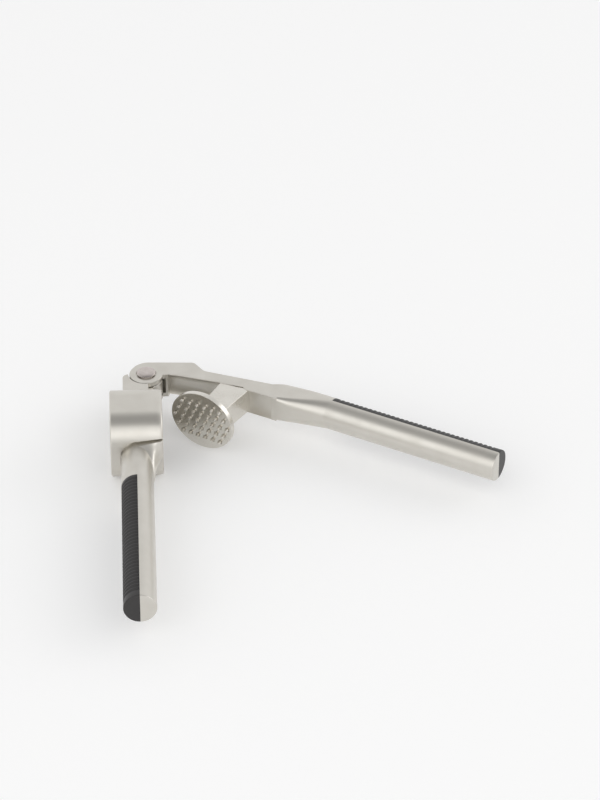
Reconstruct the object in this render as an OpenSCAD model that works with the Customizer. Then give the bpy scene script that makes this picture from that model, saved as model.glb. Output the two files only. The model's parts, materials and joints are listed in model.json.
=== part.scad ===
// Hand garlic press: a chamber arm and a plunger arm that turn on one rivet.
// The chamber is a squarish tube lying across the arm. The press lies on the flat
// underside of the chamber, whose centre is the origin. +X runs along the chamber
// arm's handle, +Y points out of the chamber's mouth and +Z is up, along the rivet.

/* [Handles] */
// Diameter of both round handles
handle_d = 15.9; // [14:0.1:18]
// Distance from the chamber's centre to the end of the chamber arm's handle
chamber_handle_reach = 140.2; // [115:0.1:165]
// Distance along the plunger arm's handle from the rivet to the handle's end
plunger_handle_reach = 187.5; // [155:0.1:220]
// Distance from the rivet to the centre line of the plunger arm's handle
plunger_handle_offset = 22.5; // [20:0.1:26]
// Angle between the two handles as the press lies open
open_angle = 58.7; // [20:0.1:75]
// Width of the chamfer round the ends of the handles
handle_chamfer = 0.6; // [0.2:0.1:1.5]

/* [Grips] */
// Bare metal between the chamber's front wall and the chamber arm's grip
chamber_grip_gap = 25.2; // [18:0.1:40]
// Distance along the plunger handle from the rivet to its grip
plunger_grip_start = 94.7; // [94:0.1:120]
// Height of the rib that keys each grip to its handle
key_h = 5; // [3:0.1:7]
// Depth of that rib in the grip
key_depth = 3; // [1.5:0.1:4.5]

/* [Chamber and plunger] */
// Length of the plunger's oval foot, along the arm
foot_l = 35.1; // [28:0.1:42]
// Height of the plunger's oval foot
foot_h = 31.2; // [24:0.1:36]
// Thickness of the foot's plate
foot_t = 3; // [2:0.1:4]
// Gap between the foot and the chamber at the rivet's end
foot_gap_in = 0.5; // [0.3:0.05:1]
// Gap between the foot and the chamber at the handle's end, where the foot swings
foot_gap_out = 1.8; // [1.5:0.05:2.5]
// Gap between the foot and the chamber above and below
foot_gap_side = 0.4; // [0.3:0.05:1.5]
// Thickness of the chamber's front and back walls
end_wall = 1.75; // [1.5:0.05:3]
// Thickness of the chamber's top and bottom walls, at their thinnest
top_wall = 2.25; // [1.6:0.05:3.5]
// Depth of the chamber's tube, from the mouth to the outlet
tube_depth = 26; // [22:0.1:32]
// Radius of the tube's four long corners
tube_corner_r = 13.6; // [8:0.1:15]
// Distance from the rivet to the chamber's centre, along the arm
pivot_reach = 41.4; // [38:0.1:46]
// Distance from the chamber arm's centre line to the rivet
pivot_side = 5.5; // [4.5:0.1:6.5]
// Distance from the rivet to the plane of the foot's pressing face
foot_drop = 12.7; // [10.5:0.1:13.5]
// Angle between the foot's face and the plunger arm's handle
foot_tilt = 2.1; // [0:0.1:4]

/* [Foot pins and sieve] */
// Diameter of each pin on the foot
pin_d = 1.9; // [1.2:0.05:2.2]
// Diameter of a pin at its tip
pin_tip_d = 1.4; // [1:0.05:2]
// Height of each pin
pin_h = 2; // [0.8:0.1:2.2]
// Distance between neighbouring pins in a row
pin_pitch = 4.3; // [3.6:0.05:4.4]
// Distance between the rows of pins
row_pitch = 4.5; // [3.6:0.05:4.6]
// Least distance from the middle of a pin to the edge of the foot
pin_edge = 2.3; // [2:0.1:4]
// Gap round a pin in its sieve hole
pin_gap = 0.45; // [0.4:0.05:0.6]
// Thickness of the sieve plate
sieve_t = 2.4; // [1.5:0.1:3.5]
// Gap between the foot's face and the sieve when the press is shut
shut_gap = 0.5; // [0.3:0.05:1]
// Width of the ledge that holds the sieve
ledge_w = 1.3; // [1:0.1:2.5]

/* [Joint] */
// Thickness of the plunger arm, and of the chamber arm's neck
arm_t = 13.8; // [12:0.1:15.5]
// Thickness of the tongue between the ears
tongue_t = 8; // [6:0.1:9]
// Radius of the tongue's eye
tongue_r = 8.6; // [7.5:0.1:9]
// Radius of the plunger arm's ears
ear_r = 8.5; // [7.5:0.1:8.8]
// Gap between an ear and the hollow in the neck that it turns in
ear_gap = 0.6; // [0.5:0.05:1]
// Width of the neck, across the arm
neck_w = 13; // [11:0.1:15]
// Thickness of each washer between the tongue and an ear
washer_t = 0.4; // [0.2:0.05:0.6]
// Free play beside each washer
washer_play = 0.05; // [0.03:0.01:0.1]
// Diameter of the rivet's shank
rivet_d = 5; // [4:0.1:6]
// Diameter of the rivet's head
rivet_head_d = 9.6; // [8:0.1:12]
// Height of the rivet's head above the ear
rivet_head_h = 1.4; // [0.8:0.1:2]
// Depth of the round recess that the head sits in
head_recess = 0.9; // [0.5:0.05:1.2]
// Gap round the head in its recess
head_gap = 0.4; // [0.3:0.05:1]
// Wall of the bush in the tongue
bush_wall = 1.1; // [0.8:0.05:1.6]
// Gap round the shank in the bush
shank_gap = 0.05; // [0.02:0.01:0.08]

/* [Plunger block] */
// Length of the plunger block at the arm, along the foot
block_l = 16.1; // [12:0.1:18]
// Length of the plunger block at the foot
block_tip_l = 13; // [10:0.1:16]
// Distance from the foot's centre to the block's centre, towards the handle
block_shift = 3.3; // [0:0.1:4]
// Step down from the arm's top to the block's top
block_step = 0.3; // [0.2:0.05:1]
// Height of the tenon that enters the arm
tenon_h = 8.8; // [6:0.1:10]
// Depth of the tenon in the arm
tenon_depth = 4.4; // [3:0.1:5]
// Diameter of the dowel that holds the tenon
dowel_d = 3; // [2:0.1:4]

/* [Hidden] */
$fn = 96;
eps = 0.01;

tube_l = foot_l + foot_gap_in + foot_gap_out + 2*end_wall;
tube_h = foot_h + 2*foot_gap_side + 2*top_wall;
chamber_l = foot_l + foot_gap_in + foot_gap_out;
chamber_h = foot_h + 2*foot_gap_side;
mid_z = tube_h/2;
handle_r = handle_d/2;
foot_reach = pivot_reach - (foot_gap_out - foot_gap_in)/2;
// The sieve's inner face, as a Y value
sieve_y = pivot_side - foot_drop - shut_gap;
chamber_grip_start = tube_l/2 + chamber_grip_gap;

slot_h = tongue_t + 2*washer_t + 2*washer_play;
recess_r = ear_r + ear_gap;
slot_r = tongue_r + 1.2;
head_recess_d = rivet_head_d + 2*head_gap;

// Outline of the plunger arm beyond its ears, seen from above, with the rivet at the
// origin and X along the handle: each point is x, y and the radius of its corner
arm_root_x = 66.5;
blend_end_x = plunger_grip_start - 0.5;
arm_front_y = plunger_handle_offset - 10.8;
arm_back_y = plunger_handle_offset + 2.7;
ARM_OUTLINE = [
    [0, 0, 0],
    [ear_r + 0.4, 4, 0.8],
    [14, 6, 8],
    [36, arm_front_y - 0.8, 20],
    [49.5, arm_front_y + 0.7, 2],
    [52, arm_front_y - 0.2, 2],
    [arm_root_x + 2, arm_front_y, 0],
    [arm_root_x + 2, arm_back_y - 2, 0],
    [60, arm_back_y - 3, 0],
    [24.4, 16.1, 5],
    [16.5, 20.2, 3],
    [-ear_r, 6.9, 9],
    [-ear_r, 0, 0],
];

// The cove along the arm's inner side: x of its start, y of the lip there, the lip's
// slope in degrees, then the radius, drop and offset of the round cutter, and its length
COVES = [
    [10, 5.1, 12.5, 9.25, 1.6, 5.05, 41],
    [50, arm_front_y - 0.26, 0.8, 8.2, 0.7, 4.7, 15.9],
];

// Points of an ellipse with the half axes a and b
function oval(a, b, n = 96) = [for (i = [0:n - 1]) [a*cos(360*i/n), b*sin(360*i/n)]];

// Unit vector from p to q
function unit(p, q) = (q - p)/norm(q - p);

// Arc that rounds the corner at b of the path a, b, c with the radius r
function corner(a, b, c, r, n = 10) =
    let (p = [a.x, a.y], q = [b.x, b.y], s = [c.x, c.y], u = unit(q, p), v = unit(q, s),
        half = acos(u*v)/2, back = r/tan(half), mid = unit([0, 0], u + v),
        o = q + mid*r/sin(half), from = q + u*back - o, turn = cross(u, v) < 0 ? 1 : -1,
        sweep = (180 - 2*half)*turn)
    [for (i = [0:n]) let (t = sweep*i/n) o + [from.x*cos(t) - from.y*sin(t),
        from.x*sin(t) + from.y*cos(t)]];

// Outline through the points [x, y, r], each corner rounded by its own radius
function rounded(pts) = let (n = len(pts)) [for (i = [0:n - 1])
    each pts[i][2] == 0 ? [[pts[i].x, pts[i].y]]
        : corner(pts[(i + n - 1) % n], pts[i], pts[(i + 1) % n], pts[i][2])];

// The sieve's holes stand this far towards the handle, because the pins swing in
pin_swing = 0.2;

// Where the pins stand on the foot's face: along it and up it from its centre, in
// staggered rows, as far out as the foot's oval has room for them
function pin_places() =
    let (a = foot_l/2 - pin_edge, b = foot_h/2 - pin_edge, n = ceil(a/pin_pitch), rows = floor(b/row_pitch))
    [for (r = [-rows:rows], i = [-n:n])
        let (x = (i + (r % 2 == 0 ? 0.5 : 0))*pin_pitch, z = r*row_pitch)
            if (pow(x/a, 2) + pow(z/b, 2) <= 1) [x, z]];

// Extrudes a shape drawn in X and Z from y0 to y1
module along_y(y0, y1) {
    translate([0, y1, 0]) rotate([90, 0, 0]) linear_extrude(y1 - y0) children();
}

// Extrudes a flat shape about the height of the rivet's middle
module about_middle(t) {
    translate([0, 0, -t/2]) linear_extrude(t) children();
}

// Round bar along X from x0 to x1 with chamfered far end
module handle_bar(x0, x1) {
    translate([x0, 0, 0]) rotate([0, 90, 0])
        rotate_extrude() polygon([[0, 0], [handle_r, 0], [handle_r, x1 - x0 - handle_chamfer],
            [handle_r - handle_chamfer, x1 - x0], [0, x1 - x0]]);
}

// Half of a handle on one side of its upright middle plane, from x0 on
module side_half(x0, x1, side) {
    w = handle_d;
    translate([x0, side > 0 ? 0 : -w, -w]) cube([x1 - x0, w, 2*w]);
}

// Rib that keys a grip to its handle, reaching out on the given side
module grip_key(x0, x1, side) {
    inset = 5;
    translate([x0 + inset, side > 0 ? -eps : -key_depth, -key_h/2])
        cube([x1 - x0 - 2*inset, key_depth + eps, key_h]);
}

// Section of the chamber's tube, in X and Z about its centre
module tube_section() {
    r = min(tube_corner_r, tube_h/2 - 2, tube_l/2 - 2);
    square([tube_l - 2*r, tube_h], center = true);
    square([tube_l, tube_h - 2*r], center = true);
    for (x = [-1, 1], z = [-1, 1])
        translate([x*(tube_l/2 - r), z*(tube_h/2 - r)]) circle(r);
}

// Places its children at the rivet, unturned
module at_pivot() {
    translate([-pivot_reach, pivot_side, mid_z]) children();
}

// Places its children in the plunger arm's own frame, with X along its handle
module on_plunger_arm() {
    at_pivot() rotate([0, 0, open_angle]) children();
}

// Places its children in the foot's frame: X along the foot and -Y out of its face
module on_foot() {
    at_pivot() rotate([0, 0, open_angle - foot_tilt]) children();
}

// Plan of the neck's tongue, about the rivet
module tongue_plan() {
    circle(tongue_r);
    polygon([[0, -pivot_side - neck_w/2 + 3], [pivot_reach - tube_l/2 + 1, -pivot_side - neck_w/2],
        [pivot_reach - tube_l/2 + 1, 2.5], [0, 4]]);
}

// Neck between the chamber and the rivet: a full-height block with a round hollow
// for each ear, and a tongue between the hollows
module neck() {
    root = pivot_reach - tube_l/2 + 1;
    at_pivot() {
        about_middle(tongue_t) tongue_plan();
        difference() {
            about_middle(arm_t) polygon(rounded([[root, -pivot_side - neck_w/2, 0],
                [root, neck_w/2 - pivot_side, 0], [-1, neck_w/2 - pivot_side, 0],
                [0.3, -pivot_side - neck_w/2, 3]]));
            cylinder(h = 2*arm_t, r = recess_r, center = true);
        }
    }
}

// Web that stiffens the corner between the chamber and its handle
module gusset() {
    x0 = tube_l/2 - 1;
    x1 = tube_l/2 + chamber_grip_gap - 2;
    bend = 14;
    translate([0, 0, mid_z]) about_middle(6)
        polygon(concat([[x0, 0], [x0, tube_depth/2 - 0.5]],
            [for (i = [0:bend]) let (t = i/bend)
                [x0 + 2 + (x1 - x0 - 2)*t, handle_r - 1 + (tube_depth/2 + 0.5 - handle_r)*pow(1 - t, 1.8)]],
            [[x1, 0]]));
}

// Chamber arm: tube, neck, web and the metal half of the handle, cast in one piece
module chamber_arm() {
    color([0.76, 0.75, 0.72]) difference() {
        union() {
            translate([0, 0, mid_z]) along_y(-tube_depth/2, tube_depth/2) tube_section();
            neck();
            gusset();
            translate([0, 0, mid_z]) difference() {
                handle_bar(tube_l/2 - 3, chamber_handle_reach);
                difference() {
                    side_half(chamber_grip_start, chamber_handle_reach + 1, -1);
                    grip_key(chamber_grip_start, chamber_handle_reach, -1);
                }
            }
        }
        translate([0, 0, mid_z]) {
            along_y(sieve_y - sieve_t, tube_depth) polygon(oval(chamber_l/2, chamber_h/2));
            along_y(-tube_depth, sieve_y)
                polygon(oval(chamber_l/2 - ledge_w, chamber_h/2 - ledge_w));
        }
        at_pivot() cylinder(h = 2*arm_t, d = rivet_d + 2*shank_gap + 2*bush_wall, center = true);
    }
}

// Bush pressed into the tongue, in which the rivet turns
module pivot_bush() {
    color([0.72, 0.6, 0.38]) at_pivot() difference() {
        cylinder(h = tongue_t, d = rivet_d + 2*shank_gap + 2*bush_wall, center = true);
        cylinder(h = 2*tongue_t, d = rivet_d + 2*shank_gap, center = true);
    }
}

// Pierced plate that rests on the chamber's ledge
module sieve_plate() {
    shift = foot_reach - pivot_reach + pin_swing;
    color([0.7, 0.7, 0.7]) translate([0, 0, mid_z]) difference() {
        along_y(sieve_y - sieve_t, sieve_y) polygon(oval(chamber_l/2, chamber_h/2));
        for (p = pin_places())
            translate([p.x + shift, sieve_y, p.y]) rotate([90, 0, 0])
                cylinder(h = 4*sieve_t, d = pin_d + 2*pin_gap, center = true, $fn = 24);
    }
}

// Grip half of the chamber arm's handle
module chamber_grip() {
    color([0.13, 0.13, 0.14]) translate([0, 0, mid_z]) difference() {
        intersection() {
            handle_bar(chamber_grip_start - 1, chamber_handle_reach);
            side_half(chamber_grip_start, chamber_handle_reach + 1, -1);
        }
        grip_key(chamber_grip_start, chamber_handle_reach, -1);
    }
}

// Plan of the plunger arm from its ears to the root of its handle
module arm_plan() {
    circle(ear_r);
    polygon(rounded(ARM_OUTLINE));
}

// Round cutters for the coves along the arm's inner side, which leave the arm whole
// behind the plunger block
module coves() {
    seat_l = block_l - 0.6;
    difference() {
        for (c = COVES)
            translate([c[0], c[1], -c[4]]) rotate([0, 0, c[2]]) translate([0, -c[5], 0])
                rotate([0, 90, 0]) cylinder(h = c[6], r = c[3]);
        translate([foot_reach + block_shift + 0.5 - seat_l/2, 0, -arm_t])
            cube([seat_l, 2*arm_t, 2*arm_t]);
    }
}

// Thin slice across the plunger arm at x, from its front face to back_y, with its
// back edges rounded by the radius r
module arm_slice(x, back_y, r) {
    w = back_y - arm_front_y;
    translate([x, arm_front_y, 0]) {
        translate([0, 0, -arm_t/2]) cube([0.2, w - r, arm_t]);
        for (s = [-1, 1]) translate([0, w - r, s*(arm_t/2 - r)]) rotate([0, 90, 0])
            cylinder(h = 0.2, r = r, $fn = 32);
    }
}

// Body of the plunger arm where its bar turns into the round handle
module handle_blend() {
    hull() {
        arm_slice(60, arm_back_y - 2.6, 1);
        arm_slice(arm_root_x, arm_back_y + 2.6, 4);
    }
    hull() {
        arm_slice(arm_root_x, arm_back_y + 2.6, 4);
        translate([blend_end_x - 0.5, plunger_handle_offset, 0]) rotate([0, 90, 0])
            cylinder(h = 0.5, r = handle_r + 0.03, $fn = 64);
    }
}

// Space of the plunger block's tenon, behind the arm's front face
module tenon_space() {
    y_in = arm_front_y + tenon_depth;
    x_mid = foot_reach + block_shift + 1.2;
    w = block_l - 3;
    translate([x_mid - w/2, 0, -tenon_h/2]) cube([w, y_in, tenon_h]);
}

// Plunger arm: two ears, coved bar and the metal half of the handle
module plunger_arm() {
    color([0.76, 0.75, 0.72]) on_plunger_arm() difference() {
        union() {
            about_middle(arm_t) arm_plan();
            handle_blend();
            translate([0, plunger_handle_offset, 0]) difference() {
                handle_bar(blend_end_x - 0.4, plunger_handle_reach);
                difference() {
                    side_half(plunger_grip_start, plunger_handle_reach + 1, 1);
                    grip_key(plunger_grip_start, plunger_handle_reach, 1);
                }
            }
        }
        about_middle(slot_h) {
            circle(slot_r);
            rotate(-60) translate([0, -slot_r]) square([2*slot_r, 2*slot_r]);
        }
        coves();
        tenon_space();
        cylinder(h = 2*arm_t, d = rivet_d, center = true);
        for (s = [0, 1]) mirror([0, 0, s])
            translate([0, 0, arm_t/2 - head_recess]) cylinder(h = arm_t, d = head_recess_d);
        dowel_hole();
    }
}

// Place of the dowel that holds the tenon, driven in from below
module dowel_hole() {
    translate([foot_reach + block_shift + 1.2, arm_front_y + tenon_depth/2, -arm_t/2 + 0.4])
        cylinder(h = arm_t/2 + 2, d = dowel_d);
}

// Plunger block and foot, with the pins on the foot's face
module plunger() {
    face_y = -foot_drop;
    back_y = face_y + foot_t;
    x_mid = foot_reach + block_shift;
    block_h = arm_t - 2*block_step;
    far_y = arm_front_y + 3;
    color([0.74, 0.73, 0.7]) difference() {
        union() {
            on_foot() {
                translate([foot_reach, 0, 0]) along_y(face_y, back_y)
                    polygon(oval(foot_l/2, foot_h/2));
                for (p = pin_places())
                    translate([foot_reach + p.x, face_y + eps, p.y]) rotate([90, 0, 0])
                        cylinder(h = pin_h + eps, d1 = pin_d, d2 = pin_tip_d, $fn = 16);
            }
            difference() {
                on_foot() about_middle(block_h)
                    polygon([[x_mid - block_tip_l/2, back_y - eps], [x_mid + block_tip_l/2, back_y - eps],
                        [x_mid + block_l/2, far_y], [x_mid - block_l/2, far_y]]);
                on_plunger_arm() about_middle(2*arm_t) arm_plan();
            }
            on_plunger_arm() intersection() {
                tenon_space();
                about_middle(2*arm_t) arm_plan();
            }
        }
        on_plunger_arm() dowel_hole();
    }
}

// Dowel through the tenon
module plunger_dowel() {
    color([0.6, 0.6, 0.6]) on_plunger_arm() dowel_hole();
}

// Grip half of the plunger arm's handle
module plunger_grip() {
    color([0.13, 0.13, 0.14]) on_plunger_arm() translate([0, plunger_handle_offset, 0]) difference() {
        intersection() {
            handle_bar(plunger_grip_start - 1, plunger_handle_reach);
            side_half(plunger_grip_start, plunger_handle_reach + 1, 1);
        }
        grip_key(plunger_grip_start, plunger_handle_reach, 1);
    }
}

// Rivet with a low domed head, turned about its axis
module pivot_rivet() {
    seat = arm_t/2 - head_recess;
    top = arm_t/2 + rivet_head_h;
    r = rivet_head_d/2;
    color([0.66, 0.63, 0.61]) at_pivot() rotate_extrude() polygon([
        [0, -top], [rivet_d/2 + 0.9, -top], [rivet_d/2 + 1.2, -top + 0.6],
        [rivet_d/2, -top + 1.1], [rivet_d/2, seat], [r, seat], [r, top - 0.7], [r - 0.8, top - 0.15],
        [r - 2, top], [0, top]]);
}

// Collar under the rivet's formed end
module rivet_collar() {
    seat = arm_t/2 - head_recess;
    top = arm_t/2 + rivet_head_h;
    r = rivet_head_d/2;
    color([0.66, 0.63, 0.61]) at_pivot() rotate_extrude() polygon([
        [rivet_d/2, -seat], [r, -seat], [r, -top + 0.9], [r - 0.5, -top + 0.6],
        [rivet_d/2 + 1.2, -top + 0.6], [rivet_d/2, -top + 1.1]]);
}

// Thin washer against an ear: side is 1 above the tongue and -1 below it
module washer(side) {
    z = tongue_t/2 + washer_play;
    color([0.85, 0.85, 0.83]) at_pivot() translate([0, 0, side > 0 ? z : -z - washer_t])
        difference() {
            cylinder(h = washer_t, r = ear_r - 1);
            translate([0, 0, -1]) cylinder(h = washer_t + 2, d = rivet_d + 0.1);
        }
}

chamber_arm();
pivot_bush();
sieve_plate();
chamber_grip();
plunger_arm();
plunger();
plunger_dowel();
plunger_grip();
pivot_rivet();
rivet_collar();
washer(1);  // upper_washer
washer(-1);  // lower_washer
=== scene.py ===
"""Looks of a hand garlic press: two satin castings that turn on one rivet.

Every piece is modelled in millimetres in its own working frame, then placed in the
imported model's frame, in metres. The castings are cut and joined as solids, so each
one is a single closed mesh.
"""

from __future__ import annotations

import json
import logging
import math
from dataclasses import dataclass, field
from enum import Enum
from typing import Sequence

import bmesh
import bpy
from mathutils import Matrix, Vector

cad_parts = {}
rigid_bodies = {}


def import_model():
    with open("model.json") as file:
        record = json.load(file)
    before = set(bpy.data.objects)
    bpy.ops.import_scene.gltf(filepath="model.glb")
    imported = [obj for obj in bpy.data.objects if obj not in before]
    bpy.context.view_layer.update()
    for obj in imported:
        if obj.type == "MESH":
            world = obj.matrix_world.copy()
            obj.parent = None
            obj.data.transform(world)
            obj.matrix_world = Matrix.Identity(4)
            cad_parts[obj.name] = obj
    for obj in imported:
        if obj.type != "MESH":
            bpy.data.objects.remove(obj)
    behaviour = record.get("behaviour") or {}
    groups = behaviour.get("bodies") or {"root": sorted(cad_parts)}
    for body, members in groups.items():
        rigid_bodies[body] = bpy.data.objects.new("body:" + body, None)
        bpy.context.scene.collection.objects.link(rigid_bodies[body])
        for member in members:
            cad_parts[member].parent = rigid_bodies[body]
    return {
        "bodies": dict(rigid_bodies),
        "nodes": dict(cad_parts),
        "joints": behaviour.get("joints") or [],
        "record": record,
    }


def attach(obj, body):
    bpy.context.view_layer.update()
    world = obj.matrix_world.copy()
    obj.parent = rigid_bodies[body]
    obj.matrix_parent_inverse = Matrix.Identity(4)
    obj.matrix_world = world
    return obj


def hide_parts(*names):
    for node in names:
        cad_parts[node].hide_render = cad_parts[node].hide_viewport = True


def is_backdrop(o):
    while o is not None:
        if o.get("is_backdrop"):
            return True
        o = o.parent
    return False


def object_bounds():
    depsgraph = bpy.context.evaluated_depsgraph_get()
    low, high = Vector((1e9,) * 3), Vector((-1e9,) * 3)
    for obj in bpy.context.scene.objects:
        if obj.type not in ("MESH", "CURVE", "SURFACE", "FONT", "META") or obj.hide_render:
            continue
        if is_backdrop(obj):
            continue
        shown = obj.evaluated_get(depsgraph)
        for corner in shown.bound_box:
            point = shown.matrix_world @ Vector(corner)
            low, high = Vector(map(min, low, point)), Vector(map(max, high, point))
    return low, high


LOG = logging.getLogger("garlic_press")
MM = 0.001
LYING = Matrix.Rotation(math.radians(90), 4, "X")  # lays an upright solid along -Y

Point = tuple[float, float]
Corner = tuple[float, float, float]
Ring = list[Vector]
Solid = bmesh.types.BMesh
Piece = bpy.types.Object
Tree = bpy.types.NodeTree
Node = bpy.types.Node
Socket = bpy.types.NodeSocket


class Work(Enum):
    """How one solid works on another."""

    JOIN = "UNION"
    CUT = "DIFFERENCE"


class Half(Enum):
    """The side of a handle's upright middle plane that its grip covers."""

    INNER = -1
    OUTER = 1


class Body(Enum):
    """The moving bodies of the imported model."""

    CHAMBER = "chamber_side"
    PLUNGER = "plunger_side"


# ---- outlines and rings


def through(points: Sequence[Point], at: float) -> float:
    """Reads a smooth curve that runs through points.

    Args:
        points: Places as (position, value), in rising order of position.
        at: Position to read the curve at.

    Returns:
        The curve's value there, held level beyond both ends.
    """
    if at <= points[0][0]:
        return points[0][1]
    if at >= points[-1][0]:
        return points[-1][1]
    i = max(k for k in range(len(points) - 1) if points[k][0] <= at)
    (x0, y0), (x1, y1) = points[i], points[i + 1]
    rise = (y1 - y0) / (x1 - x0)
    slopes = []
    for k in (i, i + 1):
        if 0 < k < len(points) - 1:
            back = (points[k][1] - points[k - 1][1]) / (points[k][0] - points[k - 1][0])
            on = (points[k + 1][1] - points[k][1]) / (points[k + 1][0] - points[k][0])
            slopes.append(0.0 if back * on <= 0 else 2 * back * on / (back + on))
        else:
            slopes.append(rise)
    t, w = (at - x0) / (x1 - x0), x1 - x0
    return (
        (2 * t**3 - 3 * t**2 + 1) * y0
        + (t**3 - 2 * t**2 + t) * w * slopes[0]
        + (3 * t**2 - 2 * t**3) * y1
        + (t**3 - t**2) * w * slopes[1]
    )


def arc(centre: Point, radius: float, start: float, end: float, steps: int) -> list[Point]:
    """Points along an arc, from the start angle to the end angle in degrees."""
    angles = [math.radians(start + (end - start) * i / steps) for i in range(steps + 1)]
    return [
        (centre[0] + radius * math.cos(a), centre[1] + radius * math.sin(a)) for a in angles
    ]


def rounded_outline(corners: Sequence[Corner], steps: int = 10) -> list[Point]:
    """Rounds each corner of a closed outline by its own radius.

    Args:
        corners: Each corner as x, y and radius; a radius of 0 leaves it sharp.
        steps: Segments in each rounded corner.

    Returns:
        The outline's points, in the order of the corners.
    """
    outline: list[Point] = []
    for i, (x, y, radius) in enumerate(corners):
        here = Vector((x, y))
        if radius == 0:
            outline.append((x, y))
            continue
        before = (Vector(corners[i - 1][:2]) - here).normalized()
        after = (Vector(corners[(i + 1) % len(corners)][:2]) - here).normalized()
        half = before.angle(after) / 2
        centre = here + (before + after).normalized() * (radius / math.sin(half))
        start = here + before * (radius / math.tan(half)) - centre
        end = here + after * (radius / math.tan(half)) - centre
        turn = math.copysign(math.pi - 2 * half, start.x * end.y - start.y * end.x)
        for k in range(steps + 1):
            point = centre + Matrix.Rotation(turn * k / steps, 2) @ start
            outline.append((point.x, point.y))
    return outline


def box_reach(angle: float, half_a: float, half_b: float, radius: float) -> float:
    """Distance from the centre of a rounded box to its edge, in one direction.

    Args:
        angle: Direction in radians.
        half_a: Half size along the first axis.
        half_b: Half size along the second axis.
        radius: Radius of the four corners.

    Returns:
        The distance to the edge.
    """
    c, s = abs(math.cos(angle)), abs(math.sin(angle))
    low, high = 0.0, half_a + half_b
    for _ in range(40):
        reach = (low + high) / 2
        a, b = reach * c - (half_a - radius), reach * s - (half_b - radius)
        outside = math.hypot(max(a, 0), max(b, 0)) + min(max(a, b), 0) - radius
        low, high = (low, reach) if outside > 0 else (reach, high)
    return low


def rounded_box_ring(x: float, low: float, high: float, half: float, near: float, far: float) -> Ring:
    """Ring across a bar that runs along X, with its own radius on each long side.

    Args:
        x: Place of the ring along the bar.
        low: Y of the bar's near side.
        high: Y of the bar's far side.
        half: Half of the bar's height.
        near: Radius of the two near corners.
        far: Radius of the two far corners.

    Returns:
        The ring's points, the same number for any sizes.
    """
    ring: Ring = []
    for corner_y, corner_z, radius, start in (
        (high - far, half - far, far, 0),
        (low + near, half - near, near, 90),
        (low + near, near - half, near, 180),
        (high - far, far - half, far, 270),
    ):
        for y, z in arc((corner_y, corner_z), radius, start, start + 90, 16):
            ring.append(Vector((x, y, z)))
    return ring


def eased_end(end: float, radius: float, chamfer: float) -> list[Point]:
    """Stations, as (place, radius), that ease the end of a round bar."""
    return [(end - chamfer * a, radius - chamfer * b) for a, b in ((1, 0), (0.3, 0.3), (0, 1))]


def oval_ring(x: float, y: float, half_l: float, half_h: float, points: int = 128) -> Ring:
    """Upright oval ring about (x, y), with its half length along X and half height along Z."""
    angles = [2 * math.pi * i / points for i in range(points)]
    return [Vector((x + half_l * math.cos(a), y, half_h * math.sin(a))) for a in angles]


# ---- solids and cuts


def loft(rings: Sequence[Sequence[Vector]], hollow: bool = False) -> Solid:
    """Skins a run of closed rings, each one extruded from the ring before.

    Args:
        rings: Rings with the same number of points each.
        hollow: Joins the last ring to the first, instead of closing both ends.

    Returns:
        The closed shell.
    """
    bm = bmesh.new()
    ring = [bm.verts.new(place) for place in rings[0]]
    edges = [bm.edges.new(pair) for pair in zip(ring, ring[1:] + ring[:1])]
    first = list(edges)
    for places in rings[1:]:
        made = set(bmesh.ops.extrude_edge_only(bm, edges=edges)["geom"])
        ring = [next(e.other_vert(v) for e in v.link_edges if e.other_vert(v) in made) for v in ring]
        for vert, place in zip(ring, places):
            vert.co = place
        edges = [bm.edges.get(pair) for pair in zip(ring, ring[1:] + ring[:1])]
    if hollow:
        bmesh.ops.bridge_loops(bm, edges=first + edges)
    else:
        for loop in (first, edges):
            bmesh.ops.contextual_create(bm, geom=loop)
    bmesh.ops.recalc_face_normals(bm, faces=bm.faces)
    return bm


def prism(outline: Sequence[Point], low: float, high: float, edge: float = 0.35) -> Solid:
    """Extrudes an outline upwards and rounds the edges of its two flat faces.

    Args:
        outline: Points of the outline, in X and Y.
        low: Height of the bottom face.
        high: Height of the top face.
        edge: Radius of those edges, or 0 to leave them sharp.

    Returns:
        The closed prism.
    """
    bm = bmesh.new()
    face = bm.faces.new([bm.verts.new((x, y, low)) for x, y in outline])
    made = bmesh.ops.extrude_face_region(bm, geom=[face])["geom"]
    tops = [g for g in made if isinstance(g, bmesh.types.BMVert)]
    bmesh.ops.translate(bm, verts=tops, vec=(0, 0, high - low))
    bmesh.ops.recalc_face_normals(bm, faces=bm.faces)
    if edge:
        rims = [e for e in bm.edges if abs(e.verts[0].co.z - e.verts[1].co.z) < 1e-6]
        bmesh.ops.bevel(
            bm, geom=rims, offset=edge, segments=3, profile=0.5, affect="EDGES", material=-1
        )
    return bm


def rod(radius: float, low: float, high: float, segments: int = 96) -> Solid:
    """Upright round rod, for bores and pins, from low to high on Z."""
    bm = bmesh.new()
    bmesh.ops.create_cone(
        bm, cap_ends=True, segments=segments, radius1=radius, radius2=radius, depth=high - low
    )
    bmesh.ops.translate(bm, verts=bm.verts, vec=(0, 0, (low + high) / 2))
    return bm


def block(low: Sequence[float], high: Sequence[float]) -> Solid:
    """Square-edged block between two corners, for cutting with."""
    bm = bmesh.new()
    bmesh.ops.create_cube(bm, size=1)
    size = [b - a for a, b in zip(low, high)]
    bmesh.ops.scale(bm, verts=bm.verts, vec=size)
    bmesh.ops.translate(bm, verts=bm.verts, vec=[(a + b) / 2 for a, b in zip(low, high)])
    return bm


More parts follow.
